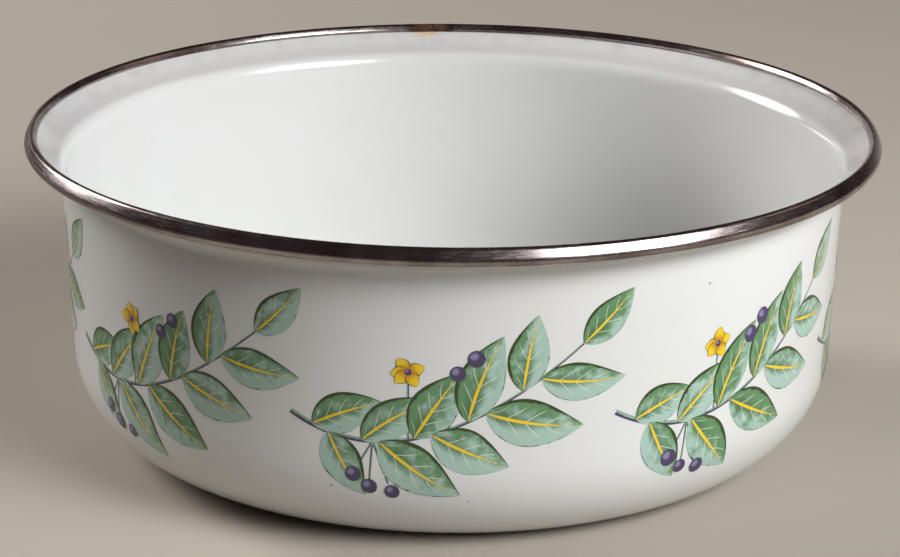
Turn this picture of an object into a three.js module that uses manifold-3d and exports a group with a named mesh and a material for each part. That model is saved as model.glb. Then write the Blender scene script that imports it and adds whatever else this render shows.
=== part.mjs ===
// Enamelled steel bowl: a drawn steel shell with a coat of glaze on each side, and a band of
// stainless strip crimped over its lip. Millimetres, +Z up.
// The origin is where the bowl's axis meets the surface that it stands on.
import * as THREE from "three";
import { mergeVertices } from "three/addons/utils/BufferGeometryUtils.js";
import Module from "manifold-3d";

// Driving dimensions of the bowl's outer face
const RIM_DIAMETER = 240; // over the band
const BOWL_HEIGHT = 89.4; // foot to the top of the band
const LIP_REACH = 10; // level distance from the top of the wall to the outside of the band
const LIP_SLOPE = 39; // degrees above level
const SHOULDER_RADIUS = 5; // where the wall turns out into the lip
const WALL_TAPER = 2.3; // degrees that the wall leans out from upright
const CORNER_RADIUS = 28; // between wall and base
const FOOT_WIDTH = 18; // flat ring that the bowl stands on
const RECESS_RISE = 1; // height of the middle of the base above the foot
const RECESS_RUN = 6; // width of the step between the foot and the middle

// Driving dimensions of the layers in the wall
const STEEL_THICKNESS = 0.7;
const GLAZE_THICKNESS = 0.25; // of each coat
const GLAZE_CLEARANCE = 0.03; // keeps each coat's solid clear of the steel

// Driving dimensions of the rim band's strip, from its curl under the lip to its leg inside the lip
const CURL_RADIUS = 1.9;
const FACE_LENGTH = 1.8; // flat part of the outer face
const FACE_LEAN = 26; // degrees that the face leans in from upright
const RIDGE_RADIUS = 1.2;
const LEG_LENGTH = 2.1; // from the ridge down to the lip
const LEG_LEAN = 30; // degrees that the leg leans out from upright
const BAND_THICKNESS = 0.4;
const BAND_CLEARANCE = 0.15; // between the strip's two edges and the glaze on the lip
const LIP_INSERT = 1.6; // how far the lip goes into the band
const SEAM_GAP = 0.3; // where the ends of the strip meet
const SEAM_ANGLE = 93.7; // degrees round from +X, at the back
const SEAM_SLANT = 45; // degrees that the cut slants from straight across the strip

// How finely curves are divided
const FACETS = 48; // round the bowl
const STEP_FACETS = 2;
const CORNER_FACETS = 8;
const SHOULDER_FACETS = 4;
const CURL_FACETS = 10;
const RIDGE_FACETS = 6;

const slope = THREE.MathUtils.degToRad(LIP_SLOPE);
const taper = THREE.MathUtils.degToRad(WALL_TAPER);
const faceLean = THREE.MathUtils.degToRad(FACE_LEAN);
const legLean = THREE.MathUtils.degToRad(LEG_LEAN);
const wallThickness = STEEL_THICKNESS + 2 * (GLAZE_THICKNESS + GLAZE_CLEARANCE);

// Half sections are drawn as (distance from the axis, height).
const point = (radius, height) => new THREE.Vector2(radius, height);

// A unit length at an angle from level, outwards.
const toward = (angle) => point(Math.cos(angle), Math.sin(angle));

// Points of an arc between two angles, which are measured from level, outwards.
function arc(centre, radius, start, end, facets) {
  return Array.from({ length: facets + 1 }, (_, i) => {
    const angle = THREE.MathUtils.lerp(start, end, i / facets);
    return toward(angle).multiplyScalar(radius).add(centre);
  });
}

const up = Math.PI / 2;
const down = -Math.PI / 2;
const alongLip = toward(slope);
const overLip = toward(slope + up);

// The outer face of the band is tangent to its curl and to its ridge.
const curlToRidge = toward(faceLean)
  .multiplyScalar(CURL_RADIUS - RIDGE_RADIUS)
  .addScaledVector(toward(faceLean + up), FACE_LENGTH);
const ridgeHeight = BOWL_HEIGHT - RIDGE_RADIUS;
const curlCentre = point(RIM_DIAMETER / 2 - CURL_RADIUS, ridgeHeight - curlToRidge.y);
const ridgeCentre = curlCentre.clone().add(curlToRidge);

// Lower end of the leg, on the face of the strip at a depth.
const legEnd = (depth) =>
  ridgeCentre
    .clone()
    .addScaledVector(toward(Math.PI - legLean), RIDGE_RADIUS - depth)
    .addScaledVector(toward(down - legLean), LEG_LENGTH);

// The leg stops just over the lip.
const lipEdge = (depth) =>
  legEnd(BAND_THICKNESS)
    .addScaledVector(overLip, depth - wallThickness - BAND_CLEARANCE)
    .addScaledVector(alongLip, LIP_INSERT);

// The curl turns until it is just under the lip.
const lipOverCurl = overLip.dot(lipEdge(0).sub(curlCentre)) - BAND_CLEARANCE;
const curlEnd = slope + up + Math.acos(lipOverCurl / CURL_RADIUS) - 2 * Math.PI;

// The shoulder is tangent to the lip and to the top of the wall.
const wallTopRadius = RIM_DIAMETER / 2 - LIP_REACH;
const shoulderOut = wallTopRadius + SHOULDER_RADIUS * Math.cos(taper);
const shoulderDrop = SHOULDER_RADIUS - (shoulderOut - lipEdge(0).x) * Math.sin(slope);
const shoulderCentre = point(shoulderOut, lipEdge(0).y - shoulderDrop / Math.cos(slope));

// The corner is tangent to the wall and to the foot.
const wallTopHeight = shoulderCentre.y + SHOULDER_RADIUS * Math.sin(taper);
const wallRadiusAtCorner = wallTopRadius - (wallTopHeight - CORNER_RADIUS) * Math.tan(taper);
const cornerCentre = point(wallRadiusAtCorner - CORNER_RADIUS / Math.cos(taper), CORNER_RADIUS);

// The step up to the middle of the base is two equal arcs that meet halfway.
const stepTurn = 2 * Math.atan(RECESS_RISE / RECESS_RUN);
const stepRadius = RECESS_RUN / (2 * Math.sin(stepTurn));
const footEdgeCentre = point(cornerCentre.x - FOOT_WIDTH, stepRadius);
const middleEdgeCentre = point(footEdgeCentre.x - RECESS_RUN, RECESS_RISE - stepRadius);

// Half section of the face that lies at a depth inside the wall, from the axis to the lip's edge.
function wallFace(depth) {
  const middleEdge = arc(middleEdgeCentre, stepRadius + depth, up, up - stepTurn, STEP_FACETS);
  const footEdge = arc(footEdgeCentre, stepRadius - depth, down - stepTurn, down, STEP_FACETS);
  const corner = arc(cornerCentre, CORNER_RADIUS - depth, down, -taper, CORNER_FACETS);
  const shoulder = arc(
    shoulderCentre,
    SHOULDER_RADIUS + depth,
    Math.PI - taper,
    up + slope,
    SHOULDER_FACETS,
  );
  return [
    point(0, RECESS_RISE + depth),
    ...middleEdge,
    ...footEdge.slice(1),
    ...corner,
    ...shoulder,
    lipEdge(depth),
  ];
}

// Half section of the strip's face at a depth, from the end of its curl to the end of its leg.
function bandFace(depth) {
  return [
    ...arc(curlCentre, CURL_RADIUS - depth, curlEnd, faceLean, CURL_FACETS),
    ...arc(ridgeCentre, RIDGE_RADIUS - depth, faceLean, Math.PI - legLean, RIDGE_FACETS),
    legEnd(depth),
  ];
}

const revolve = (section) => new THREE.LatheGeometry(section, FACETS).rotateX(Math.PI / 2);

// One layer of the wall, between two depths.
const layer = (near, far) => revolve([...wallFace(near), ...wallFace(far).reverse()]);

const wasm = await Module();
wasm.setup();

function toSolid(geometry) {
  const bare = geometry.clone();
  bare.deleteAttribute("normal");
  bare.deleteAttribute("uv");
  const merged = mergeVertices(bare);
  const vertProperties = merged.getAttribute("position").array;
  const triVerts = new Uint32Array(merged.index.array);
  return new wasm.Manifold(new wasm.Mesh({ numProp: 3, vertProperties, triVerts }));
}

function toGeometry(solid) {
  const mesh = solid.getMesh();
  const geometry = new THREE.BufferGeometry();
  geometry.setAttribute("position", new THREE.BufferAttribute(mesh.vertProperties, 3));
  geometry.setIndex(new THREE.BufferAttribute(mesh.triVerts, 1));
  geometry.computeVertexNormals();
  return geometry;
}

// A ring of strip, cut through where its two ends meet.
function rimBand() {
  const section = [...bandFace(0), ...bandFace(BAND_THICKNESS).reverse()];
  const ring = revolve([...section, section[0]]);
  const reach = 2 * (CURL_RADIUS + FACE_LENGTH + RIDGE_RADIUS);
  const seam = new THREE.BoxGeometry(reach, SEAM_GAP, reach)
    .rotateZ(THREE.MathUtils.degToRad(SEAM_SLANT))
    .translate(ridgeCentre.x, 0, ridgeCentre.y)
    .rotateZ(THREE.MathUtils.degToRad(SEAM_ANGLE));
  return toGeometry(toSolid(ring).subtract(toSolid(seam)));
}

const steel = new THREE.MeshStandardMaterial({ color: 0x6f7072, roughness: 0.5, metalness: 1 });
const outerGlaze = new THREE.MeshStandardMaterial({ color: 0xe9e7e1, roughness: 0.12 });
const innerGlaze = new THREE.MeshStandardMaterial({ color: 0xeeede9, roughness: 0.1 });
const stainless = new THREE.MeshStandardMaterial({ color: 0xa59f9a, roughness: 0.22, metalness: 1 });

const bowl = new THREE.Group();

function addPiece(name, geometry, material) {
  const piece = new THREE.Mesh(geometry, material);
  piece.name = name;
  bowl.add(piece);
}

const steelDepth = GLAZE_THICKNESS + GLAZE_CLEARANCE;
addPiece("outer_glaze", layer(0, GLAZE_THICKNESS), outerGlaze);
addPiece("steel_shell", layer(steelDepth, steelDepth + STEEL_THICKNESS), steel);
addPiece("inner_glaze", layer(wallThickness - GLAZE_THICKNESS, wallThickness), innerGlaze);
addPiece("rim_band", rimBand(), stainless);

export default bowl;
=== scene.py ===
"""Looks of the enamelled steel bowl: smooth surfaces, glaze, rim band and a printed leaf border."""

import math
import random

import bpy
from mathutils import Matrix, Vector


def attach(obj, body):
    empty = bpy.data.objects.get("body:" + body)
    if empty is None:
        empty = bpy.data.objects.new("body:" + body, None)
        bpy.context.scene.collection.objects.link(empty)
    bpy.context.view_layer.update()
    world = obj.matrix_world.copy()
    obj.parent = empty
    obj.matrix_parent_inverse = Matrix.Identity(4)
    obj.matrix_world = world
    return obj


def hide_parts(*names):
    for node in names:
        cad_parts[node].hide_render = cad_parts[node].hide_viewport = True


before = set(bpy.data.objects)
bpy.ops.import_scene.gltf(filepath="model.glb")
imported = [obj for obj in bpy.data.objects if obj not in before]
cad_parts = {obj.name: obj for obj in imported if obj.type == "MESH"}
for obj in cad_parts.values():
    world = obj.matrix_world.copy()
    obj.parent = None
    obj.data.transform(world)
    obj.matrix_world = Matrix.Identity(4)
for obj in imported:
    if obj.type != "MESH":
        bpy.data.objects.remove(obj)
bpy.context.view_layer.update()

METRES = 0.001  # in a millimetre
UP = math.pi / 2
DOWN = -math.pi / 2

# The bowl's sizes in millimetres, as in the solids
RIM_DIAMETER = 240.0
BOWL_HEIGHT = 89.4
LIP_REACH = 10.0
LIP_SLOPE = math.radians(39)
SHOULDER_RADIUS = 5.0
WALL_TAPER = math.radians(2.3)
CORNER_RADIUS = 28.0
FOOT_WIDTH = 18.0
RECESS_RISE = 1.0
RECESS_RUN = 6.0
STEEL_THICKNESS = 0.7
GLAZE_THICKNESS = 0.25
GLAZE_CLEARANCE = 0.03
CURL_RADIUS = 1.9
FACE_LENGTH = 1.8
FACE_LEAN = math.radians(26)
RIDGE_RADIUS = 1.2
LEG_LENGTH = 2.1
LEG_LEAN = math.radians(30)
BAND_THICKNESS = 0.4
BAND_CLEARANCE = 0.15
LIP_INSERT = 1.6
SEAM_GAP = 0.3
SEAM_ANGLE = math.radians(93.7)
SEAM_SLANT = math.radians(45)
STEEL_DEPTH = GLAZE_THICKNESS + GLAZE_CLEARANCE
WALL_THICKNESS = STEEL_THICKNESS + 2 * STEEL_DEPTH

# The lower edge of the band's leg is bent down onto the lip
HEM_START = 0.8  # along the leg, from the ridge
HEM_RADIUS = 0.6
HEM_TURN = math.radians(35)

# How finely curves are divided
TURN_STEPS = 192  # round the bowl
RECESS_STEPS = 4
CORNER_STEPS = 18
SHOULDER_STEPS = 10
CURL_STEPS = 22
RIDGE_STEPS = 14
HEM_STEPS = 6
STRAIGHT_STEP = 3.0  # length of the parts of a straight stretch
SHARP_ANGLE = math.radians(40)  # edges that turn further than this are left sharp


# Half sections of the bowl, as points (distance from the axis, height)

def polar(angle, radius=1.0):
    return Vector((math.cos(angle), math.sin(angle))) * radius


def arc(centre, radius, start, end, steps):
    return [centre + polar(start + (end - start) * i / steps, radius) for i in range(steps + 1)]


def filled(points):
    """The same line with long straight stretches divided, so that smooth shading stays true."""
    result = [points[0]]
    for before, after in zip(points, points[1:]):
        count = max(1, round((after - before).length / STRAIGHT_STEP))
        result += [before.lerp(after, i / count) for i in range(1, count + 1)]
    return result


# The band's outer face is tangent to its curl and to its ridge
curl_to_ridge = polar(FACE_LEAN, CURL_RADIUS - RIDGE_RADIUS) + polar(FACE_LEAN + UP, FACE_LENGTH)
curl_height = BOWL_HEIGHT - RIDGE_RADIUS - curl_to_ridge.y
curl_centre = Vector((RIM_DIAMETER / 2 - CURL_RADIUS, curl_height))
ridge_centre = curl_centre + curl_to_ridge

# Without its hem, the leg's inner side would end at leg_end, just over the lip
leg_facing = math.pi - LEG_LEAN
leg_way = polar(DOWN - LEG_LEAN)
leg_end = ridge_centre + polar(leg_facing, RIDGE_RADIUS - BAND_THICKNESS) + leg_way * LEG_LENGTH
along_lip = polar(LIP_SLOPE)
over_lip = polar(LIP_SLOPE + UP)


def lip_edge(depth):
    """The lip's edge, on the face at a depth inside the wall."""
    under_leg = leg_end + over_lip * (depth - WALL_THICKNESS - BAND_CLEARANCE)
    return under_leg + along_lip * LIP_INSERT


# The hem ends as far over the lip as the straight leg would
hem_centre = ridge_centre + polar(leg_facing, RIDGE_RADIUS - HEM_RADIUS) + leg_way * HEM_START
hem_facing = leg_facing + HEM_TURN
hem_way = polar(hem_facing + UP)
hem_bend_end = hem_centre + polar(hem_facing, HEM_RADIUS - BAND_THICKNESS)
hem_length = over_lip.dot(leg_end - hem_bend_end) / over_lip.dot(hem_way)

# The curl turns until it is just under the lip
lip_over_curl = over_lip.dot(lip_edge(0) - curl_centre) - BAND_CLEARANCE
curl_end = LIP_SLOPE + UP + math.acos(lip_over_curl / CURL_RADIUS) - 2 * math.pi

# The shoulder is tangent to the lip and to the top of the wall
wall_top_radius = RIM_DIAMETER / 2 - LIP_REACH
shoulder_out = wall_top_radius + SHOULDER_RADIUS * math.cos(WALL_TAPER)
shoulder_drop = SHOULDER_RADIUS - (shoulder_out - lip_edge(0).x) * math.sin(LIP_SLOPE)
shoulder_centre = Vector((shoulder_out, lip_edge(0).y - shoulder_drop / math.cos(LIP_SLOPE)))

# The corner is tangent to the wall and to the foot
wall_top_height = shoulder_centre.y + SHOULDER_RADIUS * math.sin(WALL_TAPER)
wall_radius_at_corner = wall_top_radius - (wall_top_height - CORNER_RADIUS) * math.tan(WALL_TAPER)
corner_out = wall_radius_at_corner - CORNER_RADIUS / math.cos(WALL_TAPER)
corner_centre = Vector((corner_out, CORNER_RADIUS))

# The step up to the middle of the base is two equal arcs that meet halfway
step_turn = 2 * math.atan(RECESS_RISE / RECESS_RUN)
step_radius = RECESS_RUN / (2 * math.sin(step_turn))
foot_edge_centre = Vector((corner_centre.x - FOOT_WIDTH, step_radius))
middle_edge_centre = Vector((foot_edge_centre.x - RECESS_RUN, RECESS_RISE - step_radius))


def wall_face(depth):
    """The face at a depth inside the wall, from the axis to the lip's edge."""
    middle = Vector((0, RECESS_RISE + depth))
    middle_edge = arc(middle_edge_centre, step_radius + depth, UP, UP - step_turn, RECESS_STEPS)
    foot_edge = arc(foot_edge_centre, step_radius - depth, DOWN - step_turn, DOWN, RECESS_STEPS)
    corner = arc(corner_centre, CORNER_RADIUS - depth, DOWN, -WALL_TAPER, CORNER_STEPS)
    bend = SHOULDER_RADIUS + depth
    shoulder = arc(shoulder_centre, bend, math.pi - WALL_TAPER, UP + LIP_SLOPE, SHOULDER_STEPS)
    return filled([middle, *middle_edge, *foot_edge[1:], *corner, *shoulder, lip_edge(depth)])


def layer_section(near, far):
    """Section of the layer of the wall between two depths."""
    return wall_face(near) + wall_face(far)[::-1]


def band_face(depth):
    """The face of the band's strip at a depth, from the end of its curl to the end of its hem."""
    curl = arc(curl_centre, CURL_RADIUS - depth, curl_end, FACE_LEAN, CURL_STEPS)
    ridge = arc(ridge_centre, RIDGE_RADIUS - depth, FACE_LEAN, leg_facing, RIDGE_STEPS)
    hem = arc(hem_centre, HEM_RADIUS - depth, leg_facing, hem_facing, HEM_STEPS)
    return [*curl, *ridge, *hem, hem[-1] + hem_way * hem_length]


# Meshes

def add_mesh(name, points, faces, material):
    """A smooth mesh with sharp edges where its faces turn far. points are in millimetres."""
    mesh = bpy.data.meshes.new(name)
    mesh.from_pydata([Vector(p) * METRES for p in points], [], faces)
    mesh.shade_smooth()
    mesh.set_sharp_from_angle(angle=SHARP_ANGLE)
    mesh.materials.append(material)
    piece = bpy.data.objects.new(name, mesh)
    bpy.context.collection.objects.link(piece)
    return piece


def spin_point(p, angle):
    return (p.x * math.cos(angle), p.x * math.sin(angle), p.y)


def lathe(name, section, material):
    """A closed body of revolution whose section starts and ends on the axis."""
    inner = section[1:-1]
    count = len(inner)
    turns = [2 * math.pi * i / TURN_STEPS for i in range(TURN_STEPS)]
    points = [spin_point(p, angle) for angle in turns for p in inner]
    first = len(points)
    last = first + 1
    points += [spin_point(section[0], 0), spin_point(section[-1], 0)]
    faces = []
    for i in range(TURN_STEPS):
        here = i * count
        there = (i + 1) % TURN_STEPS * count
        faces.append((first, there, here))
        faces += [(here + j, there + j, there + j + 1, here + j + 1) for j in range(count - 1)]
        faces.append((last, here + count - 1, there + count - 1))
    return add_mesh(name, points, faces, material)


def strip_ring(name, section, material):
    """A ring of the closed section with a slanted gap at the seam, and a cap on each end."""
    half_gap = SEAM_GAP / 2 / math.cos(SEAM_SLANT) / ridge_centre.x
    start = SEAM_ANGLE + half_gap
    sweep = 2 * math.pi - 2 * half_gap
    turns = [start + sweep * i / TURN_STEPS for i in range(TURN_STEPS + 1)]
    slant = math.tan(SEAM_SLANT) / ridge_centre.x
    offsets = [(p.x - ridge_centre.x) * slant for p in section]
    points = [spin_point(p, turn + more) for turn in turns for p, more in zip(section, offsets)]
    count = len(section)
    faces = []
    for i in range(TURN_STEPS):
        here = i * count
        there = here + count
        for j in range(count):
            following = (j + 1) % count
            faces.append((here + j, there + j, there + following, here + following))
    for ring, turned_round in ((0, False), (TURN_STEPS * count, True)):
        for j in range(count // 2 - 1):
            cap = (ring + j, ring + j + 1, ring + count - 2 - j, ring + count - 1 - j)
            faces.append(cap[::-1] if turned_round else cap)
    return add_mesh(name, points, faces, material)


# Node trees

PAINT = "paint"  # attribute of the print: (along, across, tone) at each point


def feed(tree, socket, value):
    if isinstance(value, bpy.types.NodeSocket):
        tree.links.new(value, socket)
    else:
        socket.default_value = value


def add_node(tree, kind, inputs, output=0, **settings):
    """Adds a node and gives back one of its outputs."""
    node = tree.nodes.new(kind)
    for key, value in settings.items():
        setattr(node, key, value)
    for key, value in inputs.items():
        feed(tree, node.inputs[key], value)
    return node.outputs[output]


class Shader:
    """A material whose Principled shader is fed by chains of nodes. Distances are in metres."""

    def __init__(self, name, **settings):
        self.material = bpy.data.materials.new(name)
        self.material.use_nodes = True
        self.tree = self.material.node_tree
        self.finish(**settings)

    def finish(self, **settings):
        """Sets or links the Principled shader's own sockets."""
        surface = self.tree.nodes["Principled BSDF"]
        for socket, value in settings.items():
            feed(self.tree, surface.inputs[socket.replace("_", " ")], value)
        return self.material

    def add(self, kind, inputs, output=0, **settings):
        return add_node(self.tree, kind, inputs, output, **settings)

    def place(self):
        return self.add("ShaderNodeTexCoord", {}, "Object")

    def parts(self, vector):
        node = self.tree.nodes.new("ShaderNodeSeparateXYZ")
        feed(self.tree, node.inputs[0], vector)
        return node.outputs

    def paint(self):
        return self.parts(self.add("ShaderNodeAttribute", {}, "Vector", attribute_name=PAINT))

    def math(self, operation, first, second=0.0):
        return self.add("ShaderNodeMath", {0: first, 1: second}, operation=operation)

    def times(self, first, second):
        return self.math("MULTIPLY", first, second)

    def plus(self, first, second, share):
        """first plus a share of second."""
        return self.math("ADD", first, self.times(second, share))

    def vector_math(self, operation, first, second, output="Vector"):
        inputs = {0: first, 1: second}
        return self.add("ShaderNodeVectorMath", inputs, output, operation=operation)

    def round_axis(self):
        """Distance round the rim from +X, distance from the axis, and height."""
        x, y, height = self.parts(self.place())
        around = self.times(self.math("ARCTAN2", y, x), RIM_DIAMETER / 2 * METRES)
        square = self.math("ADD", self.times(x, x), self.times(y, y))
        return around, self.math("SQRT", square), height

    def noise(self, scale, detail, roughness=0.5, vector=None):
        inputs = {"Scale": scale, "Detail": detail, "Roughness": roughness}
        inputs["Vector"] = vector or self.place()
        return self.add("ShaderNodeTexNoise", inputs, "Fac")

    def ramp(self, value, low, high, bottom=0.0, top=1.0):
        """Goes smoothly from bottom to top as value goes from low to high."""
        inputs = {0: value, 1: low, 2: high, 3: bottom, 4: top}
        return self.add("ShaderNodeMapRange", inputs, interpolation_type="SMOOTHSTEP")

    def mix(self, share, first, second):
        inputs = {0: share, 6: first, 7: second}
        return self.add("ShaderNodeMix", inputs, 2, data_type="RGBA")

    def bump(self, height, distance, strength, normal=None):
        inputs = {"Height": height, "Distance": distance, "Strength": strength}
        if normal:
            inputs["Normal"] = normal
        return self.add("ShaderNodeBump", inputs)

    def spot(self, centre, inner, outer, stretch):
        """1 within the inner distance of centre and 0 beyond the outer one, with a ragged edge.

        stretch makes it wider along X.
        """
        away = self.vector_math("SUBTRACT", self.place(), centre)
        narrowed = self.vector_math("MULTIPLY", away, (1 / stretch, 1, 1))
        distance = self.vector_math("LENGTH", narrowed, (0, 0, 0), "Value")
        ragged = self.noise(scale=700.0, detail=5.0, roughness=0.6)
        return self.ramp(self.plus(distance, ragged, 2 * inner), low=outer, high=2 * inner)


def colour(red, green, blue):
    """A colour given as the 0 to 255 values of a screen."""
    def linear(value):
        value /= 255
        return value / 12.92 if value <= 0.04045 else ((value + 0.055) / 1.055) ** 2.4
    return (linear(red), linear(green), linear(blue), 1.0)


# Materials of the four solids

WHITE = colour(215, 216, 215)
WARM_WHITE = colour(212, 212, 210)
# painted shade for the lip, darkest just above the shoulder
PAINTED_LIP_SHADE = colour(182, 177, 177)
SPECK = colour(52, 46, 42)
# grime and painted shade beside the band
GRIME_AND_SHADE = colour(150, 136, 118)
RUST_WASH = colour(206, 182, 146)
RUST = colour(84, 58, 44)
DARK_RUST = colour(58, 40, 32)
BRIGHT_METAL = colour(174, 164, 162)
DULL_METAL = colour(128, 114, 110)
DARK_SHEET = colour(120, 120, 122)
PALE_SHEET = colour(160, 160, 160)

GLAZE_IOR = 1.52
PINHOLE_CELLS = 55.0  # in a metre of the unrolled face
PINHOLE_EDGE = 0.022  # from a pinhole's middle, in cells
PINHOLE_CORE = 0.010  # where it is darkest
OUTER_PITTED = 0.3  # share of the cells that have a pinhole
INNER_PITTED = 0.05


def glaze_material(name, pitted):
    """Fired white enamel: glossy, slightly wavy, pinholed, painted shade on the lip, grime and
    shade by the band.

    pitted is the share of its cells that have a pinhole.
    """
    shader = Shader(name, IOR=GLAZE_IOR)
    around, reach, height = shader.round_axis()
    tone = shader.noise(scale=14.0, detail=4.0)
    body = shader.mix(shader.ramp(tone, low=0.4, high=0.7), WHITE, WARM_WHITE)

    # Pinholes at the middles of some cells, some darker than others
    outward = shader.math("ADD", reach, height)
    unrolled = shader.add("ShaderNodeCombineXYZ", {0: around, 1: outward})
    cells = {"Vector": unrolled, "Scale": PINHOLE_CELLS}
    distance = shader.add("ShaderNodeTexVoronoi", cells, "Distance", voronoi_dimensions="2D")
    chosen = shader.add("ShaderNodeTexVoronoi", cells, "Color", voronoi_dimensions="2D")
    luck, depth, _ = shader.parts(chosen)
    rare = shader.ramp(luck, low=1 - pitted, high=1.01 - pitted)
    hole = shader.times(shader.ramp(distance, low=PINHOLE_EDGE, high=PINHOLE_CORE), rare)
    body = shader.mix(shader.times(hole, depth), body, SPECK)

    # Painted shade on the lip, deepest just above the shoulder and lighter towards the lip's edge
    lip_foot = (shoulder_centre.y + SHOULDER_RADIUS * math.cos(LIP_SLOPE)) * METRES
    over_shoulder = shader.ramp(height, low=lip_foot - 0.0005, high=lip_foot + 0.0012, top=0.52)
    under_edge = shader.ramp(height, low=lip_foot + 0.004, high=lip_foot + 0.0015, bottom=0.42)
    body = shader.mix(shader.times(over_shoulder, under_edge), body, PAINTED_LIP_SHADE)

    # Patches of grime and painted shade beside the band, where the enamel meets it
    under_band = (curl_centre.y - CURL_RADIUS) * METRES
    near_band = shader.ramp(height, low=under_band - 0.0016, high=under_band + 0.0012)
    patchy = shader.ramp(shader.noise(scale=160.0, detail=5.0), low=0.45, high=0.85, top=0.3)
    body = shader.mix(shader.times(near_band, patchy), body, GRIME_AND_SHADE)

    # Rust that has washed down from the band's seam
    seam = Vector(spin_point(band_face(0)[-1], SEAM_ANGLE)) * METRES
    stain = shader.spot(seam - Vector((0.0015, 0, 0)), inner=0.0005, outer=0.0034, stretch=2.0)
    body = shader.mix(stain, body, RUST_WASH)

    peel = shader.bump(shader.noise(scale=230.0, detail=2.0), distance=0.00003, strength=0.5)
    waves = shader.noise(scale=34.0, detail=1.0)
    surface = shader.bump(waves, distance=0.00012, strength=0.5, normal=peel)
    smears = shader.noise(scale=28.0, detail=6.0, roughness=0.65)
    rough = shader.ramp(smears, low=0.35, high=0.75, bottom=0.08, top=0.16)
    rough = shader.plus(rough, stain, 0.5)
    return shader.finish(Base_Color=body, Roughness=rough, Normal=surface)


def stainless_material():
    """Bright rolled strip: fine scratches round the rim, duller and browner in patches."""
    shader = Shader("stainless", Specular_IOR_Level=0.1)
    around, reach, height = shader.round_axis()

    def drawn_out(share):
        """A place whose distance round the rim counts for a share, which stretches a texture."""
        inputs = {0: shader.times(around, share), 1: reach, 2: height}
        return shader.add("ShaderNodeCombineXYZ", inputs)

    lines = shader.noise(scale=6500.0, detail=3.0, roughness=0.6, vector=drawn_out(0.03))
    nicks = shader.noise(scale=2600.0, detail=4.0, roughness=0.7, vector=drawn_out(0.2))
    nicks = shader.ramp(nicks, low=0.62, high=0.72)
    worn = shader.noise(scale=60.0, detail=5.0, roughness=0.6)
    metal = shader.mix(shader.ramp(worn, low=0.35, high=0.7), BRIGHT_METAL, DULL_METAL)

    # Rust at the seam
    seam = Vector(spin_point(ridge_centre, SEAM_ANGLE)) * METRES
    stain = shader.spot(seam, inner=0.001, outer=0.0085, stretch=1.3)
    flecks = shader.ramp(shader.noise(scale=1100.0, detail=5.0), low=0.35, high=0.65)
    rust = shader.mix(flecks, RUST, DARK_RUST)
    metal = shader.mix(shader.ramp(stain, low=0.0, high=0.5), metal, rust)
    crust = shader.ramp(stain, low=0.25, high=0.8)
    bare = shader.math("SUBTRACT", 1.0, crust)

    rough = shader.ramp(lines, low=0.3, high=0.75, bottom=0.14, top=0.30)
    rough = shader.plus(rough, nicks, 0.2)
    rough = shader.plus(rough, crust, 0.4)
    scratches = shader.bump(lines, distance=0.00002, strength=0.35)
    dents = shader.noise(scale=90.0, detail=2.0)
    surface = shader.bump(dents, distance=0.0001, strength=0.5, normal=scratches)
    return shader.finish(Base_Color=metal, Metallic=bare, Roughness=rough, Normal=surface)


def sheet_steel_material():
    """The hidden pressing: grey, with the dull grain of drawn sheet."""
    shader = Shader("sheet_steel", Metallic=1.0)
    grain = shader.noise(scale=900.0, detail=4.0)
    metal = shader.mix(grain, DARK_SHEET, PALE_SHEET)
    rough = shader.ramp(grain, low=0.3, high=0.7, bottom=0.35, top=0.55)
    return shader.finish(Base_Color=metal, Roughness=rough)


# The bowl's four solids, with true round surfaces

def finish_piece(piece, node=None):
    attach(piece, "root")
    if node:
        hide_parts(node)


outer = lathe(
    "outer_enamel_coat",
    layer_section(0, GLAZE_THICKNESS),
    glaze_material("outer_enamel", OUTER_PITTED),
)
finish_piece(outer, "outer_glaze")

steel = lathe(
    "pressed_steel",
    layer_section(STEEL_DEPTH, STEEL_DEPTH + STEEL_THICKNESS),
    sheet_steel_material(),
)
finish_piece(steel, "steel_shell")

inner = lathe(
    "inner_enamel_coat",
    layer_section(WALL_THICKNESS - GLAZE_THICKNESS, WALL_THICKNESS),
    glaze_material("inner_enamel", INNER_PITTED),
)
finish_piece(inner, "inner_glaze")

band = strip_ring(
    "crimped_band",
    band_face(0) + band_face(BAND_THICKNESS)[::-1],
    stainless_material(),
)
finish_piece(band, "rim_band")


# The printed border: leaning sprigs of lance-shaped leaves with berries and small blossoms

PRINT_SEED = 11
PRINT_RADIUS = 109.0  # distances round the wall are measured at this radius
FILM_THICKNESS = 0.02
LEAST_HALF_WIDTH = 0.02  # keeps tips whole
TANGENT_STEP = 0.01  # in t, which goes from 0 to 1 along a curve

# Heights over the glaze
STEM_LIFT = 0.01
LEAF_LIFT = 0.03
LIFT_STEP = 0.003  # each later leaf lies over the one before it
BERRY_LIFT = 0.08
BLOSSOM_LIFT = 0.1
HEART_LIFT = 0.12

# Numbers of faces (along, across)
STEM_GRID = (40, 4)
LEAF_GRID = (22, 8)
DISC_GRID = (14, 6)
BERRY_STALK_GRID = (4, 2)
BLOSSOM_STALK_GRID = (6, 2)

# A sprig's stem. Places along it go from 0 to 1
SPRIG_COUNT = 8
SPRIG_HEIGHT = 64.0  # of a sprig's middle, along the outer face from the foot's edge
STEM = [Vector(p) for p in ((-42, -8), (-18, -22), (8, -10), (34, 12))]
STEM_WIDTH = 1.5
STEM_NARROWING = 0.6  # share of the width that is gone at the tip

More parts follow.
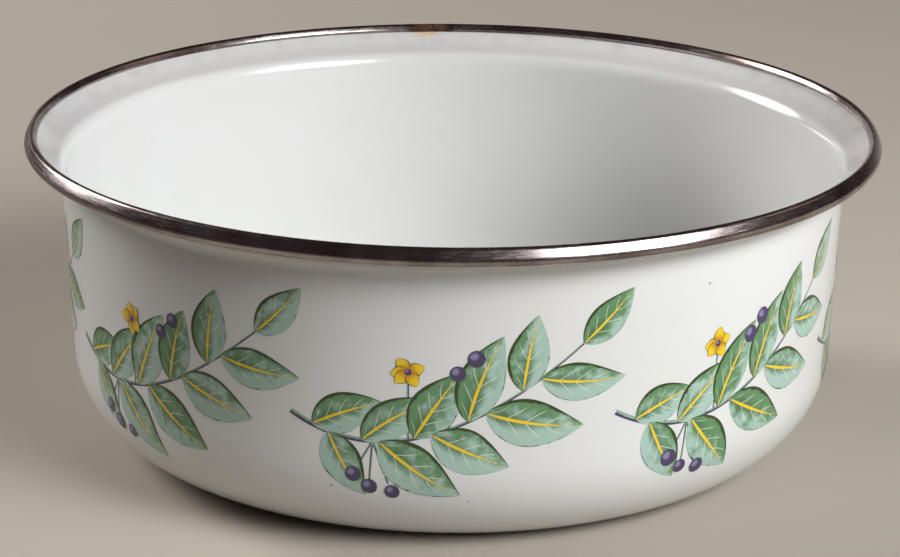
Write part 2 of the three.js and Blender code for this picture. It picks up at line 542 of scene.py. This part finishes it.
# Leaves, with the ranges of their chance differences
LEAF_PAIRS = 5
FIRST_PAIR = 0.08  # place along the stem
PAIR_SPACING = 0.18
PAIR_STAGGER = 0.06  # from the leaf on one side to the leaf on the other
LEAF_LENGTH = 19.0
LEAF_WIDTH = 9.5
LEAF_SPREAD = math.radians(52)  # from the stem
LEAF_GROWTH = 0.3  # how much larger leaves are at the middle of the stem
LEAF_BELLY = 0.8  # below 1, the widest place is nearer the base
LEAF_FULLNESS = 0.9  # below 1, the leaf is rounder towards its ends
END_LEAF_BEND = 0.1
SPREAD_RANGE = (-0.12, 0.12)
LENGTH_RANGE = (0.88, 1.08)
WIDTH_RANGE = (0.9, 1.1)
BEND_RANGE = (0.05, 0.2)

# Berries on stalks that fan out from the stem
BERRY_CLUSTERS = ((0.3, -1, 3), (0.68, 1, 2))  # place along the stem, side, number of berries
BERRY_RADIUS = 2.3
BERRY_RANGE = (0.85, 1.1)
STALK_WIDTH = 0.6
STALK_LENGTH = 15.0
STALK_SHORTENING = 2.0  # from each stalk to the next
STALK_SPREAD = 1.25  # radians from the stem
STALK_FAN = 0.42  # from each stalk to the next

# The blossom
BLOSSOM_PLACE = 0.5
BLOSSOM_OFFSET = Vector((-6, 17))
BLOSSOM_ROOT = 0.42
PETALS = 5
PETAL_LENGTH = 4.6
PETAL_WIDTH = 3.8
HEART_RADIUS = PETAL_WIDTH / 4

corner_length = CORNER_RADIUS * (UP - WALL_TAPER)
wall_way = Vector((math.sin(WALL_TAPER), math.cos(WALL_TAPER)))
wall_out = Vector((math.cos(WALL_TAPER), -math.sin(WALL_TAPER)))


def wall_point(p, lift):
    """p is (distance to the right of the front, distance up the outer face), off it by lift."""
    off_centre = CORNER_RADIUS + lift
    if p.y < corner_length:
        section = corner_centre + polar(DOWN + p.y / CORNER_RADIUS, off_centre)
    else:
        section = corner_centre + wall_out * off_centre + wall_way * (p.y - corner_length)
    return spin_point(section, DOWN + p.x / PRINT_RADIUS)


def left_of(way):
    return Vector((-way.y, way.x))


def turned(vector, angle):
    return Matrix.Rotation(angle, 2) @ vector


def run_at(curve, t):
    """A short vector along the curve at t. The curve is given for t from 0 to 1."""
    return curve(min(1, t + TANGENT_STEP)) - curve(max(0, t - TANGENT_STEP))


def stem_point(t):
    """A point of the Bezier curve whose control points are STEM."""
    points = STEM
    while len(points) > 1:
        points = [a.lerp(b, t) for a, b in zip(points, points[1:])]
    return points[0]


def stem_way(t):
    return run_at(stem_point, t).normalized()


class Film:
    """Thin closed shapes on the wall. paint holds (along, across, tone) for each point."""

    def __init__(self):
        self.points = []
        self.faces = []
        self.paint = []

    def add_points(self, centre, half_width, level, grid, tone):
        along, across = grid
        for i in range(along + 1):
            t = i / along
            half = max(half_width(t), LEAST_HALF_WIDTH)
            side = left_of(run_at(centre, t)).normalized() * half
            for j in range(across + 1):
                s = 2 * j / across - 1
                self.points.append(wall_point(centre(t) - side * s, level))
                self.paint.append((t, s, tone))

    def add_faces(self, start, grid):
        """Faces of the upper and lower levels of points, and the edge between them."""
        along, across = grid
        row = across + 1
        below = (along + 1) * row
        for i in range(along):
            for j in range(across):
                a = start + i * row + j
                quad = (a, a + 1, a + row + 1, a + row)
                self.faces.append(quad)
                self.faces.append(tuple(v + below for v in reversed(quad)))
        outline = list(range(across))
        outline += [i * row + across for i in range(along)]
        outline += [along * row + across - j for j in range(across)]
        outline += [(along - i) * row for i in range(along)]
        for a, b in zip(outline, outline[1:] + outline[:1]):
            self.faces.append((start + b, start + a, start + a + below, start + b + below))

    def ribbon(self, centre, half_width, lift, grid, tone=0.0):
        """A shape along the curve centre(t), t from 0 to 1, half_width(t) wide on each side."""
        start = len(self.points)
        for level in (lift + FILM_THICKNESS, lift):
            self.add_points(centre, half_width, level, grid, tone)
        self.add_faces(start, grid)

    def stalk(self, base, tip, lift, grid):
        self.ribbon(lambda t: base.lerp(tip, t), lambda t: STALK_WIDTH / 2, lift, grid)

    def disc(self, middle, radius, lift, tone=0.0):
        def centre(t):
            return middle + Vector((radius * (2 * t - 1), 0))

        def half_width(t):
            return radius * math.sqrt(max(0, 1 - (2 * t - 1) ** 2))

        self.ribbon(centre, half_width, lift, DISC_GRID, tone)

    def leaf(self, base, way, length, width, lift, bend=0.0, tone=0.0):
        """A leaf or petal that runs from its base along way. bend turns it to the left."""
        side = left_of(way)

        def centre(t):
            return base + way * (length * t) + side * (bend * length * t * t)

        def half_width(t):
            return width / 2 * math.sin(math.pi * t ** LEAF_BELLY) ** LEAF_FULLNESS

        self.ribbon(centre, half_width, lift, LEAF_GRID, tone)

    def build(self, name, material):
        piece = add_mesh(name, self.points, self.faces, material)
        paint = piece.data.attributes.new(PAINT, "FLOAT_VECTOR", "POINT")
        paint.data.foreach_set("vector", [value for values in self.paint for value in values])
        finish_piece(piece)


def print_stem(stems, middle):
    def centre(t):
        return middle + stem_point(t)

    def half_width(t):
        return STEM_WIDTH / 2 * (1 - STEM_NARROWING * t)

    stems.ribbon(centre, half_width, STEM_LIFT, STEM_GRID)


def print_leaves(leaves, middle, draw):
    """Pairs of leaves along the stem and one at its end. draw gives their chance differences."""
    lift = LEAF_LIFT
    for pair in range(LEAF_PAIRS):
        for side, stagger in ((1, 0.0), (-1, PAIR_STAGGER)):
            place = FIRST_PAIR + PAIR_SPACING * pair + stagger
            grown = 1.0 + LEAF_GROWTH * math.sin(math.pi * place)
            spread = LEAF_SPREAD + draw.uniform(*SPREAD_RANGE)
            length = LEAF_LENGTH * grown * draw.uniform(*LENGTH_RANGE)
            width = LEAF_WIDTH * grown * draw.uniform(*WIDTH_RANGE)
            bend = -side * draw.uniform(*BEND_RANGE)
            base = middle + stem_point(place)
            way = turned(stem_way(place), side * spread)
            leaves.leaf(base, way, length, width, lift, bend, draw.random())
            lift += LIFT_STEP
    end = middle + STEM[-1]
    leaves.leaf(end, stem_way(1), LEAF_LENGTH, LEAF_WIDTH, lift, END_LEAF_BEND, draw.random())


def print_berries(stems, berries, middle, draw):
    for place, side, count in BERRY_CLUSTERS:
        root = middle + stem_point(place)
        for k in range(count):
            way = turned(stem_way(place), side * (STALK_SPREAD + STALK_FAN * k))
            tip = root + way * (STALK_LENGTH - STALK_SHORTENING * k)
            stems.stalk(root, tip, STEM_LIFT + (k + 1) * LIFT_STEP, BERRY_STALK_GRID)
            radius = BERRY_RADIUS * draw.uniform(*BERRY_RANGE)
            berries.disc(tip, radius, BERRY_LIFT, draw.random())


def print_blossom(stems, berries, blossoms, middle, draw):
    """Petals at chance turns, with a heart like a small berry."""
    heart = middle + stem_point(BLOSSOM_PLACE) + BLOSSOM_OFFSET
    root = middle + stem_point(BLOSSOM_ROOT)
    stems.stalk(root, heart, STEM_LIFT, BLOSSOM_STALK_GRID)
    for k in range(PETALS):
        way = polar(2 * math.pi * k / PETALS + draw.random())
        blossoms.leaf(heart, way, PETAL_LENGTH, PETAL_WIDTH, BLOSSOM_LIFT + k * LIFT_STEP)
    berries.disc(heart, HEART_RADIUS, HEART_LIFT)


# Inks of the print

MID_GREEN = colour(92, 132, 92)
DEEP_GREEN = colour(66, 104, 70)
SAGE = colour(160, 188, 176)
OLIVE = colour(52, 66, 26)
YELLOW = colour(226, 192, 36)
DEEP_YELLOW = colour(196, 140, 24)
CREAM = colour(226, 228, 200)
VIOLET = colour(72, 62, 92)
PALE_VIOLET = colour(132, 126, 160)
PRINT_IOR = 1.5


def printed(shader, ink):
    """Ink fired into the glaze: uneven gloss and faintly raised strokes."""
    gloss = shader.noise(scale=120.0, detail=4.0)
    rough = shader.ramp(gloss, low=0.3, high=0.7, bottom=0.10, top=0.22)
    strokes = shader.bump(shader.noise(scale=380.0, detail=3.0), distance=0.00002, strength=0.4)
    return shader.finish(Base_Color=ink, Roughness=rough, Normal=strokes)


def leaf_material():
    """Brushed greens, pale towards one edge, with a dark outline and yellow midrib."""
    shader = Shader("leaf_print", IOR=PRINT_IOR)
    along, across, tone = shader.paint()
    off = shader.math("ABSOLUTE", across)

    blotch = shader.noise(scale=260.0, detail=5.0, roughness=0.6)
    paleness = shader.plus(shader.plus(blotch, tone, 0.3), across, 0.22)
    green = shader.mix(shader.ramp(paleness, low=0.48, high=0.82), MID_GREEN, SAGE)
    outward = shader.plus(off, along, 0.7)
    deep = shader.ramp(outward, low=0.75, high=0.25, top=0.8)
    green = shader.mix(deep, green, DEEP_GREEN)

    # Side veins that slant forward, and the midrib
    slant = shader.plus(shader.times(along, 5.0), off, -1.5)
    comb = shader.math("ABSOLUTE", shader.math("SUBTRACT", shader.math("FRACT", slant), 0.5))
    short = shader.ramp(off, low=0.72, high=0.5, top=0.8)
    vein = shader.times(shader.ramp(comb, low=0.455, high=0.49), short)
    green = shader.mix(vein, green, CREAM)
    rib = shader.ramp(shader.plus(off, along, 0.08), low=0.12, high=0.07)
    green = shader.mix(rib, green, YELLOW)

    # A brushed outline, heavier along one edge
    ragged = shader.noise(scale=420.0, detail=3.0)
    border = shader.plus(shader.plus(off, ragged, 0.3), across, -0.08)
    green = shader.mix(shader.ramp(border, low=1.02, high=1.1), green, OLIVE)
    return printed(shader, green)


def stem_material():
    """Green stalks with a violet shadow along one side."""
    shader = Shader("stem_print", IOR=PRINT_IOR)
    _, across, _ = shader.paint()
    green = shader.mix(shader.noise(scale=400.0, detail=4.0), MID_GREEN, SAGE)
    shade = shader.math("ADD", across, shader.noise(scale=220.0, detail=3.0))
    return printed(shader, shader.mix(shader.ramp(shade, low=0.35, high=0.6), green, VIOLET))


def berry_material():
    """Violet berries with a paler patch where light falls."""
    shader = Shader("berry_print", IOR=PRINT_IOR)
    along, across, _ = shader.paint()
    left = shader.math("SUBTRACT", along, 0.36)
    above = shader.math("ADD", shader.times(across, 0.5), 0.16)
    square = shader.math("ADD", shader.times(left, left), shader.times(above, above))
    lit = shader.plus(square, shader.noise(scale=700.0, detail=3.0), 0.06)
    return printed(shader, shader.mix(shader.ramp(lit, low=0.12, high=0.03), VIOLET, PALE_VIOLET))


def blossom_material():
    """Yellow petals, deeper towards the heart, with a dark outline."""
    shader = Shader("blossom_print", IOR=PRINT_IOR)
    along, across, _ = shader.paint()
    streak = shader.plus(along, shader.noise(scale=900.0, detail=3.0), 0.3)
    petal = shader.mix(shader.ramp(streak, low=0.35, high=0.8), DEEP_YELLOW, YELLOW)
    edge = shader.ramp(shader.math("ABSOLUTE", across), low=0.8, high=0.95)
    return printed(shader, shader.mix(edge, petal, OLIVE))


def print_border():
    stems = Film()
    leaves = Film()
    berries = Film()
    blossoms = Film()
    draw = random.Random(PRINT_SEED)
    for sprig in range(SPRIG_COUNT):
        right = 2 * math.pi * PRINT_RADIUS * sprig / SPRIG_COUNT
        middle = Vector((right, SPRIG_HEIGHT))
        print_stem(stems, middle)
        print_leaves(leaves, middle, draw)
        print_berries(stems, berries, middle, draw)
        print_blossom(stems, berries, blossoms, middle, draw)
    stems.build("stem_print", stem_material())
    leaves.build("leaf_print", leaf_material())
    berries.build("berry_print", berry_material())
    blossoms.build("blossom_print", blossom_material())


print_border()


# Stage, light and camera

SHEET_HALF = 6000.0  # half a side of the floor, in millimetres
CARD_HEIGHT = 1.0  # in millimetres
CARD_BESIDE = (-0.15, -0.28)  # where the card fades in along X, in metres
CARD_BEFORE = (-0.21, -0.34)  # and along Y
FLOOR_COLOUR = colour(177, 170, 159)
FLOOR_SHADE = colour(173, 166, 155)
# painted shade: the card stands for dark surroundings seen in the bowl's gloss
SHADE_CARD_COLOUR = colour(78, 68, 62)
PAPER_ROUGHNESS = 0.85

# Metres and degrees. Azimuth is to the right of the camera's side of the bowl.
SOFTBOXES = (
    # name, azimuth, elevation, distance, width, height, power, tint
    ("key", 49, 31, 1.3, 1.1, 0.8, 60.0, (0.985, 1.0, 1.01)),
    ("side", -120, 26, 2.0, 1.2, 1.3, 104.0, (1.0, 0.975, 0.96)),
    ("back", 180, 8, 2.0, 4.0, 0.6, 4.0, (1.0, 0.9, 0.85)),
    ("room", 108, 34, 2.0, 1.5, 1.0, 2.2, (1.0, 0.75, 0.6)),
)
LAMP_MIDDLE = (0.5, 0.5, 0.0)  # as shares of a softbox's width and height
FADE_START = 0.1  # from the middle, in the same shares
FADE_END = 0.55
ROOM_COLOUR = (1.0, 0.74, 0.78, 1.0)
ROOM_STRENGTH = 0.045

CAMERA_DISTANCE = 0.875
CAMERA_ELEVATION = math.radians(20.87)
CAMERA_TARGET = Vector((0, 0, 0.042))
CAMERA_LENS = 120.0
CAMERA_SENSOR = 36.0
CAMERA_PAN = math.radians(0.032)
CAMERA_TILT = math.radians(0.039)
CAMERA_ROLL = math.radians(-0.556)


def add_sheet(name, height, material):
    """A wide level sheet that isn't part of the bowl."""
    half = SHEET_HALF
    sides = ((-half, -half), (half, -half), (half, half), (-half, half))
    sheet = add_mesh(name, [(x, y, height) for x, y in sides], [(0, 1, 2, 3)], material)
    return sheet


def add_floor():
    shader = Shader("floor", Roughness=PAPER_ROUGHNESS, Specular_IOR_Level=0.15)
    paper = shader.mix(shader.noise(scale=6.0, detail=3.0), FLOOR_COLOUR, FLOOR_SHADE)
    add_sheet("floor", 0.0, shader.finish(Base_Color=paper))


def add_painted_shade_card():
    """A dark card on the floor, left of the bowl and before it: painted shade for dark
    surroundings.

    It shows in the bowl's gloss and takes the floor's light off the wall, and isn't seen itself.
    """
    shader = Shader("painted_shade_card", Base_Color=SHADE_CARD_COLOUR, Roughness=PAPER_ROUGHNESS)
    x, y, _ = shader.parts(shader.place())
    beside = shader.ramp(x, *CARD_BESIDE)
    before = shader.ramp(y, *CARD_BEFORE)
    material = shader.finish(Alpha=shader.math("MAXIMUM", beside, before))
    card = add_sheet("painted_shade_card", CARD_HEIGHT, material)
    card.visible_camera = False
    card.visible_shadow = False


def fade_edges(lamp):
    """Dims a lamp from its middle outwards, as the cloth of a softbox does."""
    lamp.use_nodes = True
    tree = lamp.node_tree
    place = add_node(tree, "ShaderNodeNewGeometry", {}, "Parametric")
    ends = {0: place, 1: LAMP_MIDDLE}
    distance = add_node(tree, "ShaderNodeVectorMath", ends, "Value", operation="DISTANCE")
    limits = {0: distance, 1: FADE_START, 2: FADE_END, 3: 1.0, 4: 0.0}
    fade = add_node(tree, "ShaderNodeMapRange", limits, interpolation_type="SMOOTHSTEP")
    feed(tree, tree.nodes["Emission"].inputs["Strength"], fade)


def add_softbox(name, azimuth, elevation, distance, width, height, power, tint):
    """A soft light that faces the middle of the bowl."""
    turn = math.radians(azimuth)
    rise = math.radians(elevation)
    level = math.cos(rise)
    way = Vector((math.sin(turn) * level, -math.cos(turn) * level, math.sin(rise)))
    lamp = bpy.data.lights.new(name, "AREA")
    lamp.shape = "RECTANGLE"
    lamp.size = width
    lamp.size_y = height
    lamp.energy = power
    lamp.color = tint
    fade_edges(lamp)
    light = bpy.data.objects.new(name, lamp)
    light.location = way * distance + Vector((0, 0, BOWL_HEIGHT / 2 * METRES))
    light.rotation_euler = way.to_track_quat("Z", "Y").to_euler()
    bpy.context.collection.objects.link(light)


def add_world():
    world = bpy.data.worlds.new("room")
    world.use_nodes = True
    background = world.node_tree.nodes["Background"]
    background.inputs["Color"].default_value = ROOM_COLOUR
    background.inputs["Strength"].default_value = ROOM_STRENGTH
    bpy.context.scene.world = world


def add_camera():
    back = Vector((0, -math.cos(CAMERA_ELEVATION), math.sin(CAMERA_ELEVATION)))
    place = back * CAMERA_DISTANCE
    ahead = (CAMERA_TARGET - place).normalized()
    right = ahead.cross(Vector((0, 0, 1))).normalized()
    up = right.cross(ahead)
    pan = Matrix.Rotation(CAMERA_PAN, 3, up)
    ahead, right = pan @ ahead, pan @ right
    tilt = Matrix.Rotation(CAMERA_TILT, 3, right)
    ahead, up = tilt @ ahead, tilt @ up
    roll = Matrix.Rotation(CAMERA_ROLL, 3, ahead)
    right, up = roll @ right, roll @ up
    facing = Matrix((right, up, -ahead)).transposed().to_4x4()
    data = bpy.data.cameras.new("camera")
    data.lens = CAMERA_LENS
    data.sensor_width = CAMERA_SENSOR
    data.sensor_fit = "HORIZONTAL"
    camera = bpy.data.objects.new("camera", data)
    camera.matrix_world = Matrix.Translation(place) @ facing
    bpy.context.collection.objects.link(camera)
    bpy.context.scene.camera = camera


add_floor()
add_painted_shade_card()
for softbox in SOFTBOXES:
    add_softbox(*softbox)
add_world()
add_camera()
bpy.context.scene.view_settings.view_transform = "Standard"
